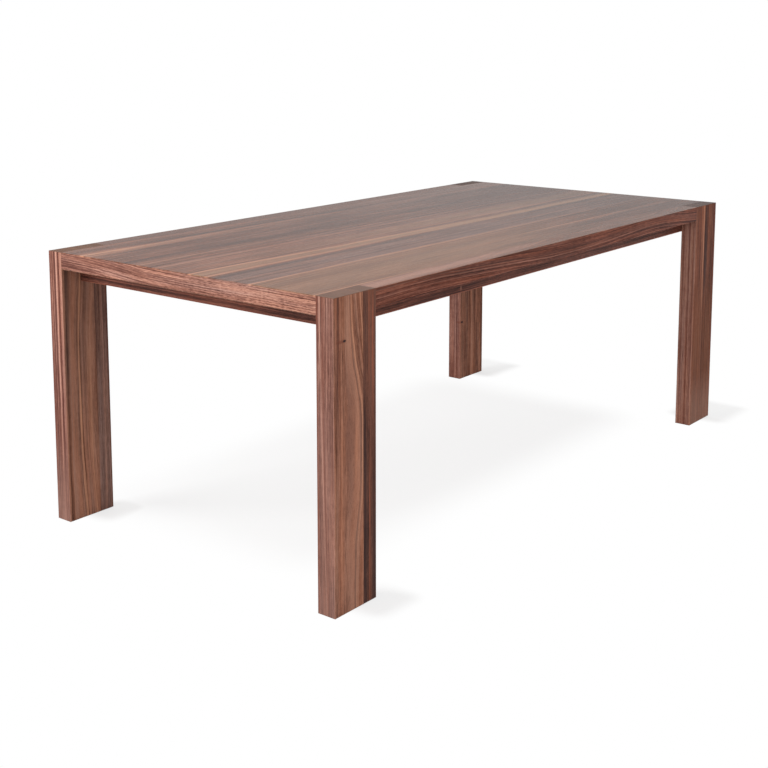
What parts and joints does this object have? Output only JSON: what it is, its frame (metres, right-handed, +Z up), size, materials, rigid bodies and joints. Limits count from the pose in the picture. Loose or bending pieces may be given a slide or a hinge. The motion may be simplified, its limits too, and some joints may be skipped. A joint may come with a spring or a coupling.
{
  "type": "dining table",
  "caption": "Long rectangular walnut dining table with plank legs that run up through the corners of a thick top, over a shallow set-back rail frame.",
  "frame": {"origin": "on the floor, under the middle of the top", "axes": "+X along the table to the right, +Y from the front long side to the back one, +Z up"},
  "size_m": [2, 1, 0.75],
  "materials": {
    "walnut_face": "satin lacquer over mauve-brown walnut",
    "walnut_edge": "satin lacquer over reddish walnut",
    "walnut_leg": "satin lacquer over striped walnut",
    "walnut_rail": "satin lacquer over dark walnut",
    "walnut_backing": "thin lacquer over plain walnut",
    "board_core": "raw pressed board, hidden",
    "beech": "planed beech, hidden from the sides",
    "zinc_steel": "zinc plated",
    "glide_plastic": "dark brown, matt"
  },
  "bodies": {
    "root": {"top_leaf_1": "walnut_face", "top_leaf_2": "walnut_face", "top_leaf_3": "walnut_face", "top_leaf_4": "walnut_face", "top_leaf_5": "walnut_face", "edge_strip_front": "walnut_edge", "edge_strip_back": "walnut_edge", "end_band_left": "walnut_edge", "end_band_right": "walnut_edge", "leg_front_left": "walnut_leg", "leg_front_right": "walnut_leg", "leg_back_left": "walnut_leg", "leg_back_right": "walnut_leg", "long_rail_front": "walnut_rail", "long_rail_back": "walnut_rail", "end_rail_left": "walnut_rail", "end_rail_right": "walnut_rail", "backing_leaf": "walnut_backing", "panel_core": "board_core", "cross_rail_left": "beech", "cross_rail_right": "beech", "edge_spline_front": "beech", "edge_spline_back": "beech", "leg_dowels": "beech", "strip_dowels": "beech", "corner_block_front_left": "beech", "corner_block_front_right": "beech", "corner_block_back_left": "beech", "corner_block_back_right": "beech", "leg_bolts": "zinc_steel", "leg_bolt_washers": "zinc_steel", "leg_inserts": "zinc_steel", "long_rail_screws": "zinc_steel", "end_rail_screws": "zinc_steel", "cross_rail_screws": "zinc_steel", "glide_nails": "zinc_steel", "glides_front_left": "glide_plastic", "glides_front_right": "glide_plastic", "glides_back_left": "glide_plastic", "glides_back_right": "glide_plastic"}
  },
  "joints": []
}
